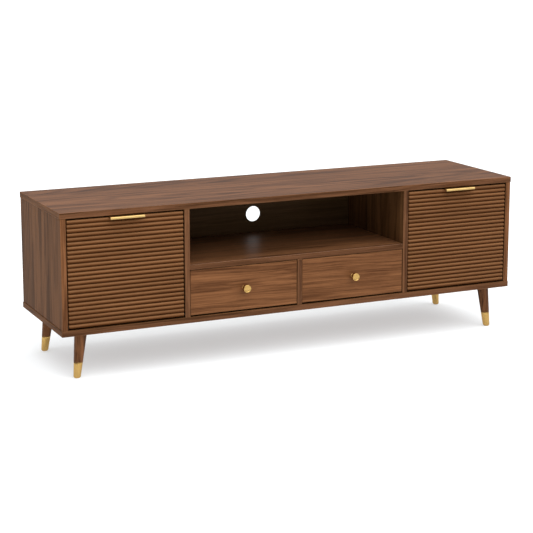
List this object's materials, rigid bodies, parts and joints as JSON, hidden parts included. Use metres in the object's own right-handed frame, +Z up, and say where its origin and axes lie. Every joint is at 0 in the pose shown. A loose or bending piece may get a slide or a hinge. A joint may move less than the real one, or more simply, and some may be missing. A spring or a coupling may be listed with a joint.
{
  "type": "tv stand",
  "caption": "Low walnut television stand on splayed tapered legs: open middle bay, drawers below it and drop-down ribbed doors at the ends.",
  "frame": {"origin": "on the floor, under the middle of the stand's whole box, knobs included", "axes": "+Z up, +X to the right as seen from the front, the front faces -Y"},
  "size_m": [1.52, 0.421, 0.5],
  "materials": {
    "walnut_veneer": "satin lacquered walnut veneer",
    "walnut_front": "satin lacquered walnut, redder and streakier",
    "satin_brass": "satin brushed",
    "zinc_steel": "zinc plated",
    "pale_ply": "lacquered birch ply",
    "dark_hardboard": "printed hardboard",
    "dark_plastic": "moulded"
  },
  "bodies": {
    "carcass": {"back_panel": "dark_hardboard", "bottom_panel": "walnut_veneer", "divider_left": "walnut_veneer", "divider_right": "walnut_veneer", "door_pin_inner_left": "zinc_steel", "door_pin_inner_right": "zinc_steel", "door_pin_outer_left": "zinc_steel", "door_pin_outer_right": "zinc_steel", "drawer_divider": "walnut_veneer", "ferrule_front_left": "satin_brass", "ferrule_front_right": "satin_brass", "ferrule_rear_left": "satin_brass", "ferrule_rear_right": "satin_brass", "leg_front_left": "walnut_veneer", "leg_front_right": "walnut_veneer", "leg_rear_left": "walnut_veneer", "leg_rear_right": "walnut_veneer", "magnetic_catch_left": "dark_plastic", "magnetic_catch_right": "dark_plastic", "media_shelf": "walnut_veneer", "side_panel_left": "walnut_veneer", "side_panel_right": "walnut_veneer", "slide_fixed_inner_left": "zinc_steel", "slide_fixed_inner_right": "zinc_steel", "slide_fixed_outer_left": "zinc_steel", "slide_fixed_outer_right": "zinc_steel", "strut_wall_stud_left": "zinc_steel", "strut_wall_stud_right": "zinc_steel", "top_panel": "walnut_veneer"},
    "door_left": {"door_left": "walnut_front", "door_pull_left": "satin_brass", "catch_strike_left": "zinc_steel", "strut_door_bracket_left": "zinc_steel"},
    "strut_cylinder_left": {"strut_cylinder_left": "zinc_steel"},
    "strut_rod_left": {"strut_rod_left": "zinc_steel"},
    "drawer_left": {"drawer_back_left": "pale_ply", "drawer_bottom_left": "dark_hardboard", "drawer_front_left": "walnut_front", "drawer_knob_left": "satin_brass", "drawer_side_inner_left": "pale_ply", "drawer_side_outer_left": "pale_ply", "slide_moving_inner_left": "zinc_steel", "slide_moving_outer_left": "zinc_steel"},
    "door_right": {"door_right": "walnut_front", "door_pull_right": "satin_brass", "catch_strike_right": "zinc_steel", "strut_door_bracket_right": "zinc_steel"},
    "strut_cylinder_right": {"strut_cylinder_right": "zinc_steel"},
    "strut_rod_right": {"strut_rod_right": "zinc_steel"},
    "drawer_right": {"drawer_back_right": "pale_ply", "drawer_bottom_right": "dark_hardboard", "drawer_front_right": "walnut_front", "drawer_knob_right": "satin_brass", "drawer_side_inner_right": "pale_ply", "drawer_side_outer_right": "pale_ply", "slide_moving_inner_right": "zinc_steel", "slide_moving_outer_right": "zinc_steel"}
  },
  "joints": [
    {"name": "door_left", "type": "hinge", "parent": "carcass", "child": "door_left", "pos_m": [-0.5601, -0.1835, 0.164], "axis": [1, 0, 0], "range_deg": [0, 90]},
    {"name": "strut_cylinder_left", "type": "hinge", "parent": "carcass", "child": "strut_cylinder_left", "pos_m": [-0.727, -0.05523, 0.18515], "axis": [1, 0, 0], "range_deg": [0, 45]},
    {"name": "strut_rod_left", "type": "hinge", "parent": "door_left", "child": "strut_rod_left", "pos_m": [-0.727, -0.1595, 0.29176], "axis": [1, 0, 0], "range_deg": [-45, 0]},
    {"name": "drawer_left", "type": "slide", "parent": "carcass", "child": "drawer_left", "axis": [0, -1, 0], "range_m": [0, 0.26]},
    {"name": "door_right", "type": "hinge", "parent": "carcass", "child": "door_right", "pos_m": [0.5601, -0.1835, 0.164], "axis": [1, 0, 0], "range_deg": [0, 90]},
    {"name": "strut_cylinder_right", "type": "hinge", "parent": "carcass", "child": "strut_cylinder_right", "pos_m": [0.727, -0.05523, 0.18515], "axis": [1, 0, 0], "range_deg": [0, 45]},
    {"name": "strut_rod_right", "type": "hinge", "parent": "door_right", "child": "strut_rod_right", "pos_m": [0.727, -0.1595, 0.29176], "axis": [1, 0, 0], "range_deg": [-45, 0]},
    {"name": "drawer_right", "type": "slide", "parent": "carcass", "child": "drawer_right", "axis": [0, -1, 0], "range_m": [0, 0.26]}
  ],
  "couplings": [
    {"joint": "strut_cylinder_left", "follows": "door_left", "ratio": 0.5},
    {"joint": "strut_rod_left", "follows": "door_left", "ratio": -0.5},
    {"joint": "strut_cylinder_right", "follows": "door_right", "ratio": 0.5},
    {"joint": "strut_rod_right", "follows": "door_right", "ratio": -0.5}
  ]
}
